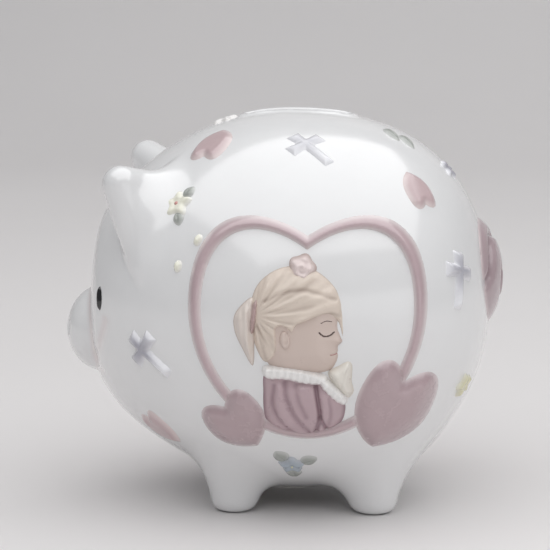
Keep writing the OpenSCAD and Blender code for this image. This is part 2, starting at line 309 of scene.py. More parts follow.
def triangle_distance(p, a, b, c):
    """Distance to a flat triangle in space."""
    ab, bc, ca = b - a, c - b, a - c
    normal = np.cross(ab, ca)
    sides = sum(np.sign((p - corner) @ np.cross(edge, normal))
                for edge, corner in ((ab, a), (bc, b), (ca, c)))

    def edge_gap(edge, corner):
        q = p - corner
        return length(q - np.clip(q @ edge / (edge @ edge), 0, 1)[:, None] * edge)

    gap = np.minimum(np.minimum(edge_gap(ab, a), edge_gap(bc, b)), edge_gap(ca, c))
    flat = np.abs((p - a) @ normal) / np.sqrt(normal @ normal)
    return np.where(np.abs(sides) > 2.5, flat, gap)


EAR_TIP = np.array([-57.0, -42.0, 47.0])
EAR_BACK = np.array([-42.0, -25.0, 42.0])
EAR_FRONT = np.array([-49.0, -41.0, 21.0])
EAR_ROUND = 6.5  # half the thickness of the flap
EAR_BELLY = np.array([-49.0, -36.0, 36.0])
EAR_BELLY_SIZE = np.array([9.0, 9.0, 10.0])
EAR_HOLLOW = np.array([-70.5, -33.0, 34.0])
EAR_HOLLOW_SIZE = np.array([8.0, 12.0, 15.0])


def ear_distance(p):
    """Left ear: a thick three-cornered flap with a swelling in it and its front hollowed."""
    flap = triangle_distance(p, EAR_TIP, EAR_BACK, EAR_FRONT) - EAR_ROUND
    flap = smooth_min(flap, ball_distance(p, EAR_BELLY, EAR_BELLY_SIZE), 6.0)
    return smooth_max(flap, -ball_distance(p, EAR_HOLLOW, EAR_HOLLOW_SIZE), 3.0)


def ear_blend(p):
    """Size of the fillet round an ear: a crease along its front edge, a wide sweep into the head behind."""
    normal = np.cross(EAR_BACK - EAR_TIP, EAR_FRONT - EAR_TIP)
    normal /= np.sqrt(normal @ normal) * np.sign(normal[0])
    return 1.5 + 9.0 * ease((p - EAR_FRONT) @ normal, -4.0, 6.0)


SNOUT_SIZE = np.array([13.0, 16.0, 15.8])
SNOUT_TIP = -82.5
SNOUT_DROP = 11.8  # how far the snout's middle is below the body's axis
NOSTRIL_GAP = 5.4  # from the middle of the snout
NOSTRIL_SIZE = np.array([2.6, 1.7, 2.3])
SNOUT_MIDDLE = np.array([SNOUT_TIP + SNOUT_SIZE[0], 0, -SNOUT_DROP])
NOSTRIL_MIDDLE = np.array([SNOUT_TIP + 0.5, -NOSTRIL_GAP, 1 - SNOUT_DROP])


def snout_distance(p):
    """Half-ball snout with two nostrils pressed in."""
    ball = ball_distance(p, SNOUT_MIDDLE, SNOUT_SIZE)
    nostril = ball_distance(mirrored(p), NOSTRIL_MIDDLE, NOSTRIL_SIZE)
    return smooth_max(ball, -nostril, 1.2)


LEG_X = (-18.4, 32.0)  # front and rear
LEG_BLEND = (9.0, 13.0)  # fillet between the leg and the body
LEG_Y = -26.0
LEG_HEIGHT = 26.0  # up to inside the body
LEG_FLARE = 0.16  # growth of the radius per mm of height
SOLE_R = 8.0
SOLE_ROUND = 4.5


def leg_distance(p, x):
    """Left leg at distance x along the body: a stub that tapers down to a rounded sole."""
    height = p[:, 2] - FLOOR
    side = np.hypot(p[:, 0] - x, p[:, 1] - LEG_Y) - (SOLE_R + LEG_FLARE * height)
    return smooth_max(side, np.maximum(-height, height - LEG_HEIGHT), SOLE_ROUND)


slot_lo, slot_hi = (np.array(corner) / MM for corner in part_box("coin_slot_lip"))
SLOT_X = 3.0
LIP = 2.5  # width of the raised lip round the slot
LIP_RISE = 0.9
SLOT_WIDTH = slot_hi[1] - slot_lo[1] - 2 * LIP
SLOT_LENGTH = slot_hi[0] - slot_lo[0] - 2 * LIP


def slot_distance(p):
    """Distance to the upright walls of the coin slot, above the axis only."""
    straight = (SLOT_LENGTH - SLOT_WIDTH) / 2
    along = np.maximum(np.abs(p[:, 0] - SLOT_X) - straight, 0)
    far_away = 1000 * (p[:, 2] < 0)
    return np.hypot(along, p[:, 1]) - SLOT_WIDTH / 2 + far_away


stopper_lo, stopper_hi = (np.array(corner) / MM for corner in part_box("belly_stopper"))
FLANGE_R = (stopper_hi[0] - stopper_lo[0]) / 2
HOLE_R = 14.0
HOLE_TOP = -50.0  # inside the hollow of the body
SEAT = FLOOR + 8.0  # height of the flat ring that the flange closes against


def round_cut(p, radius, top, k):
    """Upright round cutter from below up to top."""
    return smooth_max(np.hypot(p[:, 0], p[:, 1]) - radius, p[:, 2] - top, k)


TAIL_UP = 9.5
TAIL_MIDDLE = np.array([RUMP_LEN - 11.0, 0, TAIL_UP])
TAIL_SIZE = np.array([16.2, 25.0, 23.0])
TAIL_SEAT = 4.5  # how much smaller than the tail the skin's swelling under it is


def tail_bulge(p, grow=0.0):
    """Bun shape of the curled tail, bigger all round by grow."""
    return ball_distance(p, TAIL_MIDDLE, TAIL_SIZE + grow)


CHEEK_LINE = smooth_path([(-63.5, -2.3), (-64.6, -7), (-66.7, -12.7), (-68.6, -18.4), (-68.2, -22),
                          (-66.6, -23.5)])
CREASE_WIDTH = 1.5
CREASE_DEPTH = 0.6


def cheek_crease(q):
    """1 along the soft line between snout and cheek, on the pig's left side."""
    distance, _ = path_distance(q[:, 0], q[:, 2], CHEEK_LINE)
    return np.exp(-(distance / CREASE_WIDTH) ** 2)


def outer_distance(p):
    """The pig's outside: body, snout, ears and legs flowing into each other like slip-joined clay."""
    q = mirrored(p)
    form = body_distance(p) + CREASE_DEPTH * cheek_crease(q)
    form = smooth_min(form, tail_bulge(p, -TAIL_SEAT), 3.0)
    form = form - LIP_RISE * ease(slot_distance(p), LIP + 1.2, LIP - 1.0)
    form = smooth_min(form, ear_distance(q), ear_blend(q))
    form = smooth_min(form, snout_distance(p), 2.5)
    for x, blend in zip(LEG_X, LEG_BLEND):
        form = smooth_min(form, leg_distance(q, x), blend)
    return np.maximum(form, FLOOR - p[:, 2])


def skin_distance(p):
    """The hollow porcelain with its slot and its stopper hole."""
    form = smooth_max(outer_distance(p), -(body_distance(p) + WALL), 0.8)
    form = smooth_max(form, -slot_distance(p), 1.6)
    form = smooth_max(form, -round_cut(p, HOLE_R + 0.05, HOLE_TOP, 0.2), 0.8)
    return smooth_max(form, -round_cut(p, FLANGE_R + 1, SEAT, 0.4), 1.0)


# ---- Outlines, in mm ----

def bezier(a, b, c, d, n):
    """n points on a cubic curve from a towards d."""
    u = np.arange(n)[:, None] / n
    a, b, c, d = (np.array(point, float) for point in (a, b, c, d))
    return (1 - u) ** 3 * a + 3 * u * (1 - u) ** 2 * b + 3 * u * u * (1 - u) * c + u ** 3 * d


def heart(w, h, cleft, point=0.12, n=14):
    """Heart of width w and height h; cleft is the depth between the lobes, and point 0 makes a round tip."""
    top = h / 2
    shoulder = (w / 2, h * 0.15)
    half = np.concatenate([
        bezier((0, top - cleft), (w * 0.21, top + cleft * 0.57), (w * 0.48, top + cleft * 0.44), shoulder, n),
        bezier(shoulder, (w * 0.52, -h * 0.2), (w * 0.275, h * (point - 0.5)), (0, -top), n)])
    return np.concatenate([half, [[0, -top]], half[:0:-1] * (-1, 1)])


def oval(w, h, n=32):
    angle = np.arange(n) * 2 * math.pi / n
    return np.stack([w / 2 * np.cos(angle), h / 2 * np.sin(angle)], 1)


PETALS = 5
PETAL_NOTCH = 0.14  # depth of the notch between petals, as a share of the reach


def wavy_ring(r, notch, step):
    """Round outline with a wave for each petal, and a point every step degrees."""
    angle = np.radians(np.arange(0, 360, step))
    reach = r - notch + notch * np.cos(PETALS * angle)
    return np.stack([reach * np.cos(angle), reach * np.sin(angle)], 1)


def leaf(size, width):
    """Pointed oval from its base at the origin along a."""
    return np.concatenate([
        bezier((0, 0), (size * 0.3, width * 0.7), (size * 0.7, width * 0.6), (size, 0), 8),
        bezier((size, 0), (size * 0.7, -width * 0.6), (size * 0.3, -width * 0.7), (0, 0), 8)])


def moved(outline, x, y, turn=0.0):
    """The outline turned about the origin, then shifted."""
    c, s = heading(turn)
    return outline @ np.array([[c, s], [-s, c]]) + (x, y)


# ---- Relief on the body ----

class Place:
    """A drawing plane on the body: a runs along e1, b along e2, and n points out of the surface."""

    def __init__(self, origin, e1, e2, n):
        self.origin, self.axes = np.array(origin, float), np.array([e1, e2, n], float)

    def to_body(self, q):
        return self.origin + q @ self.axes


SIDE = Place((0, 0, 0), (1, 0, 0), (0, 0, 1), (0, -1, 0))


def on_body(t, phi, spin=0.0):
    """Plane touching the body at distance t along it and angle phi above the left side, turned by spin."""
    phi, spin = math.radians(phi), math.radians(spin)
    behind, r, ahead = (float(profile_radius(np.array(x))) for x in (t - 0.2, t, t + 0.2))
    tilt = math.atan((behind - ahead) / 0.4)
    out = np.array([0, -math.cos(phi), math.sin(phi)])
    x = np.array([1.0, 0, 0])
    normal = math.sin(tilt) * x + math.cos(tilt) * out
    e1 = math.cos(tilt) * x - math.sin(tilt) * out
    e2 = np.array([0, math.sin(phi), math.cos(phi)])
    return Place(t * x + r * out, math.cos(spin) * e1 + math.sin(spin) * e2,
                 math.cos(spin) * e2 - math.sin(spin) * e1, normal)


SINK = 0.9  # how deep a relief piece goes on below the glaze
FALL = 1.3  # how steeply its height goes on falling outside its outline


def relief(name, place, box, step, height, material, mask=None):
    """Closed piece that stands on the body: height(a, b) is its top above the body, negative outside it."""
    lo, hi = box
    step = step * DETAIL
    top = Table(np.array(lo) - 2, np.array(hi) + 2, min(step, 0.4) * 0.7, height)

    def field(q):
        above = body_distance(place.to_body(q))
        return np.maximum(above - top(q[:, 0], q[:, 1]), -above - SINK)

    sample = np.stack(np.meshgrid(np.linspace(lo[0], hi[0], 15), np.linspace(lo[1], hi[1], 15)), -1)
    level = surface_level(place, sample.reshape(-1, 2))
    box_lo = (lo[0] - 1, lo[1] - 1, level.min() - SINK - 1.5)
    box_hi = (hi[0] + 1, hi[1] + 1, level.max() + top.values.max() + 1.5)
    points, faces = surface_net(field, box_lo, box_hi, step)
    points = pull_onto(field, points, step * 0.5, rounds=2)
    masks = {"tint": mask(points[:, 0], points[:, 1])} if mask else None
    return make_mesh(name, place.to_body(points), faces, material, masks)


def surface_level(place, flat):
    """Height of the body's surface over points of the drawing plane."""
    lowest, highest = np.full(len(flat), -30.0), np.full(len(flat), 90.0)
    for _ in range(24):
        middle = (lowest + highest) / 2
        out = body_distance(place.to_body(np.column_stack([flat, middle]))) > 0
        highest = np.where(out, middle, highest)
        lowest = np.where(out, lowest, middle)
    return middle


def standing(depth, height):
    """The height inside an outline, and a steep fall outside it, where depth is negative."""
    return np.where(depth > 0, height, FALL * depth)


def dome(depth, rise, edge, detail=0.0):
    """Height of a soft pad that rises over the distance edge inside its outline, with detail on it."""
    return standing(depth, rise * np.sin(np.clip(depth / edge, 0, 1) * math.pi / 2) + detail)


def box_of(outline):
    return outline.min(0) - 1, outline.max(0) + 1


def pad(name, place, outline, rise, edge, material, step=0.6, fade=1.0, shape=None):
    """Relief piece with one outline and a domed top; its colour fades over the distance fade at the edge."""
    def height(a, b):
        return dome(depth_inside(a, b, outline), rise, edge, shape(a, b) if shape else 0.0)

    def mask(a, b):
        return ease(depth_inside(a, b, outline), -0.1 * fade, fade)

    return relief(name, place, box_of(outline), step, height, material, mask)


def mirror_piece(piece, name):
    """Copy of a left-side piece on the right side."""
    mesh = piece.data.copy()
    mesh.name = name
    points = np.empty(len(mesh.vertices) * 3)
    mesh.vertices.foreach_get("co", points)
    points.reshape(-1, 3)[:, 1] *= -1
    mesh.vertices.foreach_set("co", points)
    mesh.flip_normals()
    mesh.update()
    return add_object(name, mesh)


def joined(pieces, name):
    """The pieces as one object."""
    with bpy.context.temp_override(active_object=pieces[0], selected_editable_objects=pieces):
        bpy.ops.object.join()
    pieces[0].name = name
    pieces[0].data.name = name
    return pieces[0]


def settle(piece, *nodes, body=BODY):
    """The piece rides on its body and stands for its CAD nodes."""
    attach(piece, body)
    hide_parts(*nodes)


# ---- Materials: one glaze recipe, varied by colour and gloss ----

def add_node(material, kind, **settings):
    node = material.node_tree.nodes.new(kind)
    for name, value in settings.items():
        setattr(node, name, value)
    return node


def link(source, target):
    source.id_data.links.new(source, target)


def put(node, **values):
    """Sets the node's inputs; an underscore stands for a space in an input's name."""
    for name, value in values.items():
        node.inputs[name.replace("_", " ")].default_value = value


def noise(material, coords, scale, detail=3.0):
    """Cloudy values; scale is the number of clouds per metre."""
    node = add_node(material, "ShaderNodeTexNoise")
    put(node, Scale=scale, Detail=detail)
    link(coords, node.inputs["Vector"])
    return node.outputs["Fac"]


def remap(material, value, lo, hi):
    """Stretches noise, which hardly leaves 0.3 to 0.7, to the range lo to hi."""
    node = add_node(material, "ShaderNodeMapRange")
    put(node, From_Min=0.3, From_Max=0.7, To_Min=lo, To_Max=hi)
    link(value, node.inputs["Value"])
    return node.outputs["Result"]


def mix_colour(material, factor, a, b):
    """Colour mix; a and b are RGB tuples or sockets."""
    node = add_node(material, "ShaderNodeMix", data_type="RGBA")
    link(factor, node.inputs["Factor"])
    for socket, value in ((node.inputs[6], a), (node.inputs[7], b)):
        if isinstance(value, tuple):
            socket.default_value = (*value, 1)
        else:
            link(value, socket)
    return node.outputs[2]


def attribute(material, name):
    return add_node(material, "ShaderNodeAttribute", attribute_name=name).outputs["Fac"]


def shade(colour, factor):
    return tuple(channel * factor for channel in colour)


def new_material(name):
    """Material, its shader node and its texture coordinates."""
    material = bpy.data.materials.new(name)
    material.use_nodes = True
    coords = add_node(material, "ShaderNodeTexCoord").outputs["Object"]
    return material, material.node_tree.nodes["Principled BSDF"], coords


CLOUDS, BRUSHING, SHEEN, ORANGE_PEEL = 85, 420, 240, 130  # per metre


def glaze(name, colour, thin_glaze_and_shade=None, gloss=0.16, coat=1.0, cloud=0.02, blush_and_shade_colour=None):
    """Cloudy glaze: where the mask tint is 0 it takes its second colour, thinned glaze on the sprigs and
    painted shade on the figure; where the second mask is 1 it takes its third, pink with painted shade in the
    creases by the snout and painted shade in the tail's groove.
    """
    material, shader, coords = new_material(name)
    base = mix_colour(material, remap(material, noise(material, coords, CLOUDS), 0, 1),
                      shade(colour, 1 - cloud), shade(colour, 1 + cloud / 2))
    if thin_glaze_and_shade:
        edge = remap(material, noise(material, coords, BRUSHING), -0.05, 0.05)
        thin_and_shade_factor = add_node(material, "ShaderNodeMath", operation="ADD", use_clamp=True)
        link(attribute(material, "tint"), thin_and_shade_factor.inputs[0])
        link(edge, thin_and_shade_factor.inputs[1])
        # Low tint shows the second colour: thinned glaze at the sprigs' edges, and painted shade at the edges
        # and in the pressed-in grooves of the figure.
        base = mix_colour(material, thin_and_shade_factor.outputs[0], thin_glaze_and_shade, base)
    if blush_and_shade_colour:
        # The second mask at 1 gives the third colour: pink with painted shade by the snout, painted shade in
        # the tail's groove.
        base = mix_colour(material, attribute(material, "blush_and_shade"), base, blush_and_shade_colour)
    link(base, shader.inputs["Base Color"])
    roughness = remap(material, noise(material, coords, SHEEN), gloss * 0.75, gloss * 1.3)
    link(roughness, shader.inputs["Roughness"])
    bump = add_node(material, "ShaderNodeBump")
    put(bump, Strength=0.35, Distance=0.00012)
    link(noise(material, coords, ORANGE_PEEL, 2.0), bump.inputs["Height"])
    link(bump.outputs["Normal"], shader.inputs["Normal"])
    put(shader, IOR=1.5, Coat_Weight=coat, Coat_Roughness=0.14)
    return material


def painted(name, colour, thin_glaze_and_shade, blush_and_shade_colour=None):
    """Coloured glaze brushed on a sprig."""
    return glaze(name, colour, thin_glaze_and_shade, 0.2, 0.7, blush_and_shade_colour=blush_and_shade_colour)


def powdery(name, colour, thin_glaze_and_shade):
    """Softer paint of the figure's skin and hair."""
    return glaze(name, colour, thin_glaze_and_shade, 0.36, 0.25)


# Its pink third colour is the cheeks' colour and painted shade in the creases by the snout.
white = glaze("white_porcelain_glaze", (0.87, 0.872, 0.875), cloud=0.012, blush_and_shade_colour=(0.83, 0.66, 0.65))
# Its second colour is a little darker: painted shade at the edges of the collar, the cuff and the brow
# blossom.
white_relief = glaze("white_relief_glaze", (0.93, 0.915, 0.90), thin_glaze_and_shade=(0.86, 0.84, 0.82), gloss=0.3, coat=0.4)
frame_mauve = painted("frame_mauve_glaze", (0.56, 0.43, 0.45), (0.76, 0.68, 0.68))
heart_mauve = glaze("heart_mauve_glaze", (0.50, 0.38, 0.40), thin_glaze_and_shade=(0.72, 0.63, 0.64), gloss=0.24, coat=0.6)
pale_mauve = painted("pale_mauve_glaze", (0.60, 0.46, 0.47), (0.80, 0.69, 0.68))
# Its third colour is painted shade for the groove of the curl.
tail_mauve = painted("tail_mauve_glaze", (0.46, 0.36, 0.38), (0.66, 0.56, 0.57), (0.30, 0.22, 0.24))
lilac = glaze("lilac_glaze", (0.42, 0.415, 0.47), thin_glaze_and_shade=(0.89, 0.89, 0.92), gloss=0.16, coat=0.9)
butter = painted("butter_glaze", (0.90, 0.89, 0.76), (0.90, 0.89, 0.84))
hip_yellow = painted("hip_flower_glaze", (0.76, 0.73, 0.50), (0.84, 0.82, 0.70))
berry = painted("flower_heart_glaze", (0.68, 0.34, 0.31), (0.80, 0.62, 0.56))
leaf_green = painted("leaf_glaze", (0.38, 0.40, 0.37), (0.62, 0.63, 0.61))
pale_blue = painted("pale_blue_glaze", (0.42, 0.48, 0.54), (0.60, 0.63, 0.68))
# The figure's glazes, down to the hand glaze: each second colour is a darker copy, painted shade for the
# edges of its pieces and their pressed-in grooves.
skin_cream = powdery("skin_cream_glaze", (0.70, 0.58, 0.52), (0.60, 0.48, 0.43))
hair_cream = powdery("hair_cream_glaze", (0.78, 0.675, 0.585), (0.47, 0.38, 0.32))
ponytail_cream = powdery("ponytail_cream_glaze", (0.80, 0.72, 0.66), (0.52, 0.43, 0.38))
band_brown = glaze("hair_band_glaze", (0.50, 0.36, 0.35), thin_glaze_and_shade=(0.42, 0.31, 0.29), gloss=0.3, coat=0.4)
rose_pink = glaze("rose_glaze", (0.80, 0.68, 0.66), thin_glaze_and_shade=(0.52, 0.41, 0.38), gloss=0.3, coat=0.4)
dress_mauve = glaze("dress_glaze", (0.55, 0.41, 0.44), thin_glaze_and_shade=(0.33, 0.22, 0.25), gloss=0.32, coat=0.35)
hand_cream = powdery("hand_glaze", (0.85, 0.81, 0.74), (0.76, 0.70, 0.62))
black = glaze("black_enamel", (0.012, 0.011, 0.013), gloss=0.08, cloud=0.3)
brown_line = glaze("face_line_glaze", (0.10, 0.06, 0.05), gloss=0.3, coat=0.4, cloud=0.2)
lip_pink = glaze("lip_glaze", (0.50, 0.28, 0.26), gloss=0.3, coat=0.4)
# The stopper's grey is darkened as painted shade, so it sits in with the shade under the belly.
vinyl = glaze("stopper_vinyl", (0.60, 0.58, 0.55), gloss=0.45, coat=0.0, cloud=0.03)


# ---- The porcelain skin ----

def near_snout(points):
    """Blush and painted shade, pink, in the crease round the snout, just outside it, and along the cheek's
    line.
    """
    on_the_plate = ease(body_distance(points), 1.6, 0.4) * ease(points[:, 0], -62, -68)
    round_snout = on_the_plate * ease(snout_distance(points), 7.0, 1.5)
    return 0.4 * round_snout + 0.35 * cheek_crease(mirrored(points))


def build_skin():
    step = 1.15 * DETAIL
    half_width = max(BODY_R, 9 - EAR_TIP[1]) + 2
    lo = (SNOUT_TIP - 2, -half_width, FLOOR - 1)
    hi = (RUMP_LEN + 2, half_width, BODY_R + 3)
    points, faces = surface_net(skin_distance, lo, hi, step)
    points = pull_onto(skin_distance, points, step * 0.5)
    skin = make_mesh("porcelain_skin", points, faces, white, {"blush_and_shade": near_snout(points)})
    settle(skin, "body_shell", "coin_slot_lip", "snout", "left_ear", "right_ear", "front_left_leg",
           "front_right_leg", "rear_left_leg", "rear_right_leg")


build_skin()


# ---- Both sides: heart frame, hearts and sprigs ----

def single(piece, node):
    settle(piece, node)


def both_sides(make, node):
    """Builds a piece for the left side, and its mirror image for the right."""
    left = make(f"left_{node}_relief")
    single(left, f"left_{node}")
    single(mirror_piece(left, f"right_{node}_relief"), f"right_{node}")


PANEL_W, PANEL_H = 78.0, 75.0  # along the middle of the heart frame's band
PANEL_X, PANEL_Z = 10.0, -0.8
PANEL_CLEFT = 7.0
BAND_WIDTH = 4.6


def panel_heart(grow):
    return moved(heart(PANEL_W + grow, PANEL_H + grow, PANEL_CLEFT, 0, 30), PANEL_X, PANEL_Z)


small_heart = moved(heart(22.2, 22.5, 3.5), -14.4, -34.8, 36)
large_heart = moved(heart(26.5, 34.2, 5.4, 0.09), 39.1, -29.8, -24.5)
outer_heart = panel_heart(BAND_WIDTH)
inner_heart = panel_heart(-BAND_WIDTH)


def band_depth(a, b):
    """Depth inside the frame's band, which stops just under the rims of the two hearts on it."""
    depth = smooth_min(depth_inside(a, b, outer_heart), -depth_inside(a, b, inner_heart), 1.0)
    for heart_outline in (small_heart, large_heart):
        depth = np.minimum(depth, 1.2 - depth_inside(a, b, heart_outline))
    return depth


def heart_frame(name):
    return relief(name, SIDE, box_of(outer_heart), 0.6, lambda a, b: dome(band_depth(a, b), 2.1, 2.6),
                  frame_mauve, lambda a, b: ease(band_depth(a, b), 0.0, 1.6))


both_sides(heart_frame, "heart_frame")
both_sides(lambda name: pad(name, SIDE, small_heart, 2.9, 5.5, heart_mauve, fade=1.6),
           "small_heart")
both_sides(lambda name: pad(name, SIDE, large_heart, 3.4, 7.0, heart_mauve, fade=1.8),
           "large_heart")


def sprig_heart(place, w, h, cleft):
    return lambda name: pad(name, place, heart(w, h, cleft), 1.5, 3.0, pale_mauve, 0.45, 2.2)


both_sides(sprig_heart(on_body(-25.6, 67, 155), 14.6, 19, 2), "brow_heart")
both_sides(sprig_heart(on_body(47.3, 51.5, 215), 12.5, 16, 1.6), "rump_heart")
both_sides(sprig_heart(on_body(-43.8, -48.5, 60), 13.5, 17, 2), "chest_heart")


ARM_WIDTH = 4.2
ARM_FLARE = 0.1
SHORT_ARM, LONG_ARM = 7.2, 13.4


def cross_depth(a, b):
    """Depth inside a cross with three short flared arms and one long arm."""
    arms = []
    for turn, reach in ((0, SHORT_ARM), (90, SHORT_ARM), (180, SHORT_ARM), (-90, LONG_ARM)):
        c, s = heading(turn)
        along, across = a * c + b * s, np.abs(b * c - a * s)
        flare = ARM_FLARE * np.clip(along, 0, SHORT_ARM) if reach == SHORT_ARM else 0
        arms.append(np.minimum(np.minimum(ARM_WIDTH / 2 + flare - across, reach - along), along + 1))
    depth = arms[0]
    for arm in arms[1:]:
        depth = smooth_max(depth, arm, 0.8)
    return depth


def cross(place, tint, rise=1.9):
    """Cross with half-round arms; lilac is sprayed on its middle, as strong as tint, and fades along them."""
    def height(a, b):
        return dome(cross_depth(a, b), rise, 2.3)

    def mask(a, b):
        return tint * ease(np.hypot(a, b), 11, 1.0) * ease(cross_depth(a, b), -0.5, 1.6)

    box = (-8, -14.5), (8, 8)
    return lambda name: relief(name, place, box, 0.45, height, lilac, mask)


both_sides(cross(on_body(7.6, 61, 43), 0.45, 1.3), "spine_cross")
both_sides(cross(on_body(-48.3, -11, 58), 1.0), "cheek_cross")
both_sides(cross(on_body(62, 23, 4), 0.85), "flank_cross")


def flower(place, r, material, name, rise=1.6):
    """Petals with creases between them and a dip round the middle."""
    def petal_shape(a, b):
        crease = np.cos(PETALS * np.arctan2(b, a))
        reach = np.hypot(a, b) / r
        return 0.18 * crease * ease(reach, 0.15, 0.6) - 0.35 * ease(reach, 0.4, 0.1)
    return pad(name, place, wavy_ring(r, PETAL_NOTCH * r, 5), rise, 1.6, material, 0.35, 1.3, petal_shape)


def leaves(place, turns, start, size, width, material, name):
    """Leaves as one piece: each begins at distance start from the middle and has a midrib groove."""
    outlines = [moved(moved(leaf(size, width), start, 0), 0, 0, turn) for turn in turns]

    def depth_of(a, b):
        return np.max([depth_inside(a, b, outline) for outline in outlines], 0)

    def height(a, b):
        rib = np.zeros(a.shape)
        for turn in turns:
            c, s = heading(turn)
            rib = np.maximum(rib, np.exp(-((b * c - a * s) / 0.4) ** 2) * (a * c + b * s > start))
        return dome(depth_of(a, b), 1.2, 1.5, -0.3 * rib)

    reach = start + size + 0.5
    box = (-reach, -reach), (reach, reach)
    return relief(name, place, box, 0.4, height, material, lambda a, b: ease(depth_of(a, b), 0, 1.2))


def both_buttons(place, r, material, name):
    """Small domed middle of a flower, on both sides."""
    left = pad(f"left_{name}", place, oval(2 * r, 2 * r), 1.9, r, material, 0.3, 0.6)
    for piece in (left, mirror_piece(left, f"right_{name}")):
        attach(piece, BODY)


behind_ear = on_body(-36.5, 41.8, 10)
both_sides(lambda name: flower(behind_ear, 5.7, butter, name), "ear_flower")
both_sides(lambda name: leaves(behind_ear, (114, 35, -94), 2.6, 6.4, 4.8, leaf_green, name),
           "ear_flower_leaves")
both_buttons(behind_ear, 1.4, berry, "ear_flower_button")


def buds(name):
    """Two buds as one piece: each is a small domed oval with a crease."""
    meshes = []
    for index, (t, phi, spin) in enumerate(((-28.3, 27.5, 70), (-35.3, 19.5, 80))):
        meshes.append(pad(f"{name}_{index}", on_body(t, phi, spin), oval(4.6, 3.4), 1.5, 1.7, butter, 0.35,
                          1.0, lambda a, b: -0.35 * np.exp(-(b / 0.4) ** 2) * ease(a, -0.5, 0.8)))
    return joined(meshes, name)


both_sides(buds, "buds")

low_on_belly = on_body(3.8, -48.5, 18)
both_sides(lambda name: flower(low_on_belly, 5, pale_blue, name), "belly_flower")
both_sides(lambda name: leaves(low_on_belly, (106, 7, -105), 3.0, 7.2, 6.0, leaf_green, name),
           "belly_flower_leaves")
both_buttons(low_on_belly, 0.9, hip_yellow, "belly_flower_button")
both_sides(lambda name: flower(on_body(64.5, -41.5), 5, hip_yellow, name), "hip_flower")


def back_leaf_pair(name):
    return joined([leaves(on_body(t, 79, -48), (0,), -4.2, 10, 5, leaf_green, f"{name}_{index}")
                   for index, t in enumerate((36.8, 42.3))], name)


single(back_leaf_pair("back_leaves_relief"), "back_leaves")
single(flower(on_body(57.5, 83), 4.4, lilac, "back_blossom_relief", 1.1), "back_blossom")
single(flower(on_body(-24, 92), 5, white_relief, "brow_blossom_relief", 0.9), "brow_blossom")
both_sides(lambda name: pad(name, on_body(-65.9, 8), oval(3.4, 8.6), 1.1, 1.7, black, 0.35),
           "eye")


# ---- The praying figure in the left frame ----

def mark(a, b, points, width):
    """1 on a curve, fading to 0 about two widths away."""
    distance, _ = path_distance(a, b, smooth_path(points))
    return np.exp(-(distance / width) ** 2)


head = smooth_loop([(-9, 6), (-6, 16), (3, 21.5), (12, 20.5), (18.5, 14.5), (20.6, 7), (20.8, 2),
                    (21.6, -1.6), (22.3, -3.6), (20.9, -5), (20.9, -7), (20.9, -8.6), (20.2, -11),
                    (17.5, -14), (8, -15.5), (-1, -13.5), (-6, -6)])
hair = smooth_loop([(-9.6, 5), (-7, 15.5), (1, 21.5), (11, 21.5), (19, 16), (22.6, 8), (22.6, -2),
                    (20.8, 3.5), (16, 5), (8, 2), (5.5, -1), (1, 1), (1, -7), (-4, -11), (-7.6, -5)])
ponytail = smooth_loop([(-8.6, 11.5), (-7.4, 5), (-7.8, -4), (-8.4, -12.4), (-12, -6.5), (-14.8, 0),
                        (-14.4, 6)])
hair_band = moved(oval(3.2, 13.5), -7.9, 5.2, -8)
ear_oval = moved(oval(3.8, 6.6), 2.9, -2.6, 8)
collar = smooth_loop([(-4.2, -12.2), (3, -12.2), (10, -13.4), (17, -15.8), (16.6, -19), (10, -19.2),
                      (3, -17.6), (-3, -17.4), (-5.2, -14.8)])
dress = smooth_loop([(-3.5, -14.5), (8, -16.5), (15.5, -17.5), (22.5, -23), (22.6, -32), (17, -38),
                     (9, -40.2), (1, -38), (-4.4, -32.5), (-5, -22)])
cuff = smooth_loop([(15, -16.2), (18.8, -17.8), (24, -23.4), (23.2, -27), (19.2, -25.4), (14.6, -20)])
hands = smooth_loop([(17.6, -14.6), (21, -12.4), (24.4, -10.8), (25.8, -12.4), (25.6, -18), (26.2, -22),
                     (23.8, -24.2), (19.6, -19.8)])
ROSE = (8.4, 21.4)  # middle of the rose in the hair
rose = wavy_ring(5.1, 0.4, 8) + ROSE
HAIR_ROOT = (-8.0, 5.5)  # where the hair's grooves come together, under the band


def skull(a, b):
    """Rounded volume of the head that face, hair and ear all lie on."""
    return dome(depth_inside(a, b, head) + 1.0, 3.0, 9.0)


def face_height(a, b, depth):
    """Head with a round cheek, a shallow eye socket, the wing of the nose and a small mouth."""
    cheek = 0.7 * np.exp(-(((a - 14) / 5) ** 2 + ((b + 8) / 4.5) ** 2))
    socket = 0.5 * np.exp(-(((a - 17) / 3.4) ** 2 + ((b - 0.4) / 2.2) ** 2))
    nose = 0.8 * np.exp(-(((a - 21.2) / 1.5) ** 2 + ((b + 3.2) / 1.6) ** 2))
    mouth = 0.35 * mark(a, b, [(18.2, -8.2), (19.6, -8.0), (20.8, -7.6)], 0.5)
    return standing(depth, dome(depth, 2.9, 7.5) + cheek - socket + nose - mouth)


def strands(a, b, count, amount):
    """Grooves that fan out from the hair's root, like combed hair."""
    angle = np.arctan2(b - HAIR_ROOT[1], a - HAIR_ROOT[0])
    reach = np.hypot(a - HAIR_ROOT[0], b - HAIR_ROOT[1])
    wave = np.sin(count * angle + 0.12 * reach) + 0.45 * np.sin(2.3 * count * angle + 1.7 - 0.2 * reach)
    return amount * wave * ease(reach, 1.5, 6.0)


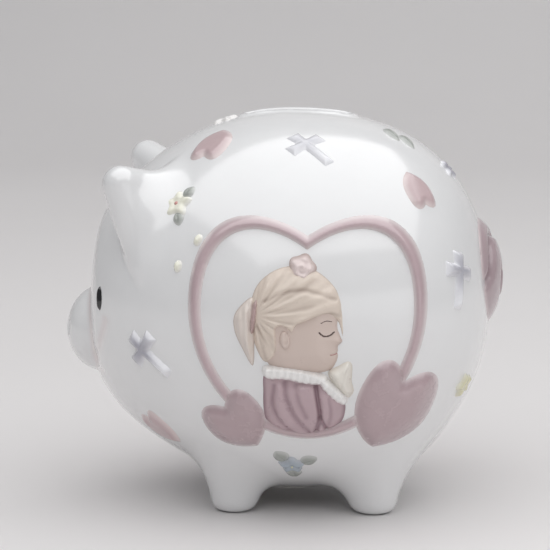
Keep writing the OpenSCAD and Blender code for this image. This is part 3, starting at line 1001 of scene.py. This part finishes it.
def hair_detail(a, b):
    """Combed strands, the fringe, the parting and the nape, as height."""
    fringe = 0.55 * mark(a, b, [(7, 1.5), (11, 5.5), (16, 8.5), (20.5, 8.2)], 1.7)
    under_fringe = 0.5 * mark(a, b, [(9, 0.5), (13.5, 4.2), (18, 6.2), (21.4, 5.2)], 0.7)
    parting = 0.55 * mark(a, b, [(-4, 10.5), (2, 13.4), (9, 14.4), (16, 12.6), (20, 11)], 0.8)
    nape = 0.45 * mark(a, b, [(-7, 2), (-3, -4), (0.5, -8.5)], 0.7)
    return strands(a, b, 17, 0.26) + fringe - under_fringe - parting - nape


def hair_height(a, b, depth):
    volume = skull(a, b) * ease(depth, -0.5, 2.2) + 0.9 * ease(depth, 0, 1.6)
    return standing(depth, volume + hair_detail(a, b) * ease(depth, 0, 1.2))


def ponytail_height(a, b, depth):
    """Locks that flow down the ponytail."""
    flow = np.sin(2.6 * (a + 11) + 0.18 * b) * 0.22 * ease(depth, 0.4, 1.4)
    return dome(depth, 2.9, 3.6, flow)


def band_height(a, b, depth):
    """Gathered hair band."""
    pleats = 0.18 * np.sin(2.2 * b) * ease(depth, 0.2, 0.8)
    return dome(depth, 3.3, 1.6, pleats)


def rose_height(a, b, depth):
    """Rolled rosette: a spiral groove from the middle to the rim."""
    reach = np.hypot(a - ROSE[0], b - ROSE[1])
    turn = np.arctan2(b - ROSE[1], a - ROSE[0])
    spiral = np.sin(reach * 2.5 - turn)
    groove = 0.35 * spiral * ease(reach, 0.2, 1.2) * ease(depth, 0, 0.8)
    return dome(depth, 3.0, 3.0, groove)


def ear_height(a, b, depth):
    """Small ear with a groove for its hollow."""
    concha = 0.7 * mark(a, b, [(3.4, -0.9), (3.5, -2.6), (3.1, -4.0)], 0.5)
    return standing(depth, skull(a, b) + dome(depth, 1.1, 1.2) - concha)


def frill_height(spine, pitch):
    """Ruffled trim: scallops along its spine."""
    path = smooth_path(spine)
    start, end = path[0], path[-1]
    along_axis = (end - start) / np.hypot(*(end - start))

    def height(a, b, depth):
        along = (a - start[0]) * along_axis[0] + (b - start[1]) * along_axis[1]
        gathers = 0.32 * np.sin(2 * math.pi * along / pitch) * ease(depth, 0, 0.8)
        return dome(depth, 3.4, 1.9, gathers)
    return height


def dress_detail(a, b):
    """Folds pressed in, with a negative height, and pleats standing out."""
    return sum(amount * mark(a, b, points, width) for amount, points, width in (
        (-1.3, [(13.2, -19), (14.2, -26), (14.6, -31), (13, -37)], 0.8),
        (-1.1, [(14.6, -31), (16.5, -35.5), (18.8, -38.5)], 0.7),
        (-0.7, [(2.5, -18), (3.0, -23), (5.5, -30), (10.5, -37)], 1.0),
        (-0.7, [(-1.0, -19), (-1.8, -26), (0.5, -32), (5, -37.5)], 0.9),
        (-0.5, [(6.5, -19), (7.4, -25), (9.8, -31)], 0.9),
        (-0.5, [(17.5, -24), (18.3, -29), (17.6, -34)], 0.8),
        (0.8, [(8, -20.5), (10.5, -20.2)], 1.3),
        (0.6, [(16.4, -22.5), (16.4, -27), (15.9, -31)], 1.1),
        (0.5, [(0.8, -20), (0.6, -27), (3.5, -34)], 1.2)))


def dress_height(a, b, depth):
    return dome(depth, 3.6, 7.0, dress_detail(a, b) * ease(depth, 0, 1.5))


def hands_height(a, b, depth):
    """Folded hands, with a line between the fingers and a raised thumb."""
    finger = 0.4 * mark(a, b, [(25, -11.5), (23.6, -15.5), (22.2, -19.5)], 0.45)
    thumb = 0.5 * mark(a, b, [(18.4, -14.6), (20.4, -15.6), (21.6, -18)], 1.0)
    return dome(depth, 3.0, 3.0, thumb - finger)


def figure_piece(node, outline, height, material, fade=1.0, step=0.4, detail=None):
    """Piece of the figure; its colour darkens at the edge and where the detail is pressed in, as painted
    shade.
    """
    def top(a, b):
        return height(a, b, depth_inside(a, b, outline))

    def mask(a, b):
        # Painted shade: the darker second colour shows at the edge and in the pressed-in grooves.
        groove = np.clip(-1.1 * detail(a, b), 0, 1) if detail else 0
        return ease(depth_inside(a, b, outline), -0.1, fade) * (1 - groove)

    single(relief(f"{node}_relief", SIDE, box_of(outline), step, top, material, mask), node)


figure_piece("girl_face", head, face_height, skin_cream, 1.2)
figure_piece("girl_hair", hair, hair_height, hair_cream, 0.5, 0.36, hair_detail)
figure_piece("girl_ponytail", ponytail, ponytail_height, ponytail_cream, 0.5, 0.36)
figure_piece("girl_ponytail_band", hair_band, band_height, band_brown)
figure_piece("girl_hair_rose", rose, rose_height, rose_pink, 1.4)
figure_piece("girl_ear", ear_oval, ear_height, skin_cream, 0.8)
figure_piece("girl_dress", dress, dress_height, dress_mauve, 1.6, 0.36, dress_detail)
figure_piece("girl_collar", collar, frill_height([(-4, -14), (6, -15.5), (16.5, -17.5)], 2.3),
             white_relief)
figure_piece("girl_hands", hands, hands_height, hand_cream)
figure_piece("girl_cuff", cuff, frill_height([(15, -17.5), (19, -21), (23.4, -25.4)], 2.2),
             white_relief)


def drawn_line(name, points, width, material, rise):
    """Thin raised brush stroke of glaze that follows a curve on the face."""
    path = smooth_path(points)

    def height(a, b):
        distance, _ = path_distance(a, b, path)
        depth = width / 2 - distance
        stroke = rise * np.minimum(depth / (width / 2), 1) ** 0.5
        on_face = face_height(a, b, depth_inside(a, b, head))
        return np.where(depth > 0, on_face + stroke, 2.2 * depth)

    piece = relief(name, SIDE, box_of(path), 0.22, height, material)
    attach(piece, BODY)


drawn_line("girl_lash_line", [(14.6, 0.0), (16.2, -1.3), (18.2, -1.2), (19.6, -0.2)], 0.75, brown_line,
           0.16)
drawn_line("girl_brow_line", [(15.2, 3.2), (17.0, 3.9), (18.8, 3.5)], 0.5, brown_line, 0.12)
drawn_line("girl_mouth_line", [(18.4, -8.2), (19.6, -8.1), (20.6, -7.7)], 0.6, lip_pink, 0.14)


# ---- Curled tail ----

TAIL_TURNS = 1.7
TAIL_RIM = 17.0
TAIL_NOTCH = 10.0  # how much further out the crease starts, at the edge of the bun
GROOVE_WIDTH = 1.3
GROOVE_DEPTH = 1.8


def tail_spiral():
    """Groove between the turns of the curl: from the rim on the left side up, round and in to the middle."""
    turn = np.linspace(0, 1, 70)
    angle = math.radians(100) - 2 * math.pi * TAIL_TURNS * turn
    r = TAIL_RIM * (1 - turn) ** 1.15 + TAIL_NOTCH * np.exp(-90 * turn)
    return np.stack([-r * np.sin(angle), TAIL_UP + 1.1 * r * np.cos(angle)], 1)


def tail_groove(p):
    """1 along the crease, seen from behind."""
    distance, _ = path_distance(p[:, 1], p[:, 2], tail_spiral())
    return np.exp(-(distance / GROOVE_WIDTH) ** 2)


def tail_distance(p):
    return np.maximum(tail_bulge(p) + GROOVE_DEPTH * tail_groove(p), -body_distance(p) - SINK)


def build_tail():
    lo = TAIL_MIDDLE - TAIL_SIZE * (0, 1, 1) - 1
    points, faces = surface_net(tail_distance, lo, TAIL_MIDDLE + TAIL_SIZE + 1, 0.8 * DETAIL)
    points = pull_onto(tail_distance, points, 0.4)
    # Painted shade: the second mask darkens the groove of the curl.
    masks = {"tint": ease(body_distance(points), 0.1, 0.9), "blush_and_shade": 0.8 * tail_groove(points)}
    single(make_mesh("curled_tail_coil", points, faces, tail_mauve, masks), "curled_tail")


build_tail()


# ---- Belly stopper ----

FLANGE_T = 2.0
SKIRT_LEN = 6.5
SKIRT_R = HOLE_R - 0.05  # a hair less than the hole
SKIRT_WALL = 2.0
RIM_GROOVE = 3.2  # from the flange's edge to the groove round its underside
TAB_HALF = (6.2, 0.5, 1.3)  # half sizes of the tab, before its corners are rounded
TAB_ROUND = 0.7
FLANGE_TOP = SEAT - 0.05
FLANGE_BOTTOM = FLANGE_TOP - FLANGE_T


def disc(p, radius, bottom, top, k):
    """Upright disc with rounded edges."""
    side = np.hypot(p[:, 0], p[:, 1]) - radius
    return smooth_max(side, np.maximum(bottom - p[:, 2], p[:, 2] - top), k)


def stopper_distance(p):
    """Soft plug: flange with a rounded rim, hollow skirt, and a tab to pull it by."""
    flange = disc(p, FLANGE_R, FLANGE_BOTTOM, FLANGE_TOP, 1.2)
    skirt = disc(p, SKIRT_R, FLANGE_TOP - 1, FLANGE_TOP + SKIRT_LEN, 0.8)
    hollow = disc(p, SKIRT_R - SKIRT_WALL, FLANGE_TOP, FLANGE_TOP + 20, 0.6)
    from_groove = np.hypot(p[:, 0], p[:, 1]) - FLANGE_R + RIM_GROOVE
    groove = np.hypot(from_groove, p[:, 2] - FLANGE_BOTTOM) - 0.55
    tab = np.abs(p - (0, 0, FLANGE_BOTTOM - 0.6)) - TAB_HALF
    tab = length(np.maximum(tab, 0)) + np.minimum(tab.max(-1), 0) - TAB_ROUND
    form = smooth_min(np.maximum(np.minimum(flange, skirt), -hollow), tab, 1.0)
    return smooth_max(form, -groove, 0.4)


def build_stopper():
    reach = FLANGE_R + 1
    lo, hi = (-reach, -reach, FLOOR), (reach, reach, FLANGE_TOP + 8)
    points, faces = surface_net(stopper_distance, lo, hi, 0.5 * DETAIL)
    points = pull_onto(stopper_distance, points, 0.25)
    stopper = make_mesh("belly_stopper_moulding", points, faces, vinyl)
    settle(stopper, "belly_stopper", body="stopper")


build_stopper()


# ---- Floor, light and camera ----

def floor_material():
    material, shader, coords = new_material("floor_paper")
    clouds = remap(material, noise(material, coords, 3), 0, 1)
    tone = mix_colour(material, clouds, (0.79, 0.77, 0.765), (0.82, 0.80, 0.795))
    link(tone, shader.inputs["Base Color"])
    put(shader, Roughness=0.55)
    return material


def build_floor():
    """Paper sweep, in metres: flat under the pig, and curving up into a backdrop behind it."""
    half, front, bend, radius, top = 6.0, -3.0, 1.0, 0.8, 4.0
    arc = np.radians(np.linspace(0, 90, 25))
    y = np.concatenate([[front], bend + radius * np.sin(arc), [bend + radius]])
    z = np.concatenate([[0.0], radius * (1 - np.cos(arc)), [top]])
    points = [(x, a, b) for a, b in zip(y, z) for x in (-half, half)]
    faces = [(2 * i, 2 * i + 1, 2 * i + 3, 2 * i + 2) for i in range(len(y) - 1)]
    floor = add_mesh("floor", points, faces, floor_material())


def look_at(thing, place, target):
    """Puts a light or camera at place, facing target; both in mm from the body's middle."""
    thing.location = ((np.array(place, float) + CENTRE) * MM).tolist()
    direction = Vector(target) - Vector(place)
    thing.rotation_euler = direction.to_track_quat("-Z", "Y").to_euler()


def softbox(name, place, size, power):
    """Rectangular lamp that faces the pig; its size is in metres."""
    light = bpy.data.lights.new(name, "AREA")
    light.shape = "RECTANGLE"
    light.size, light.size_y = size
    light.energy = power
    look_at(add_object(name, light), place, (0, 0, 0))


def round_the_object(azimuth, elevation, distance, target=(0, 0, 0)):
    """Place at a distance from the target, on the side that azimuth and elevation give."""
    a, e = math.radians(azimuth), math.radians(elevation)
    back = np.array([math.sin(a) * math.cos(e), -math.cos(a) * math.cos(e), math.sin(e)])
    return np.array(target) + distance * back


def build_world():
    world = bpy.data.worlds.new("studio")
    world.use_nodes = True
    put(world.node_tree.nodes["Background"], Color=(0.93, 0.95, 1.0, 1), Strength=0.2)
    bpy.context.scene.world = world


AIM = (-5.5, 0, 8.5)
CAMERA_AZIMUTH, CAMERA_ELEVATION, CAMERA_DISTANCE = 4, 9, 1000


def build_camera():
    camera = bpy.data.cameras.new("camera")
    camera.sensor_width = 36
    camera.lens = 177.9
    eye = add_object("camera", camera)
    look_at(eye, round_the_object(CAMERA_AZIMUTH, CAMERA_ELEVATION, CAMERA_DISTANCE, AIM), AIM)
    bpy.context.scene.camera = eye


build_floor()
build_world()
softbox("overhead_softbox", (130, -230, 1200), (2.6, 2.2), 26.5)
softbox("front_fill", round_the_object(40, 4, 1600), (1.8, 0.4), 1.9)
build_camera()
bpy.context.scene.view_settings.view_transform = "Standard"
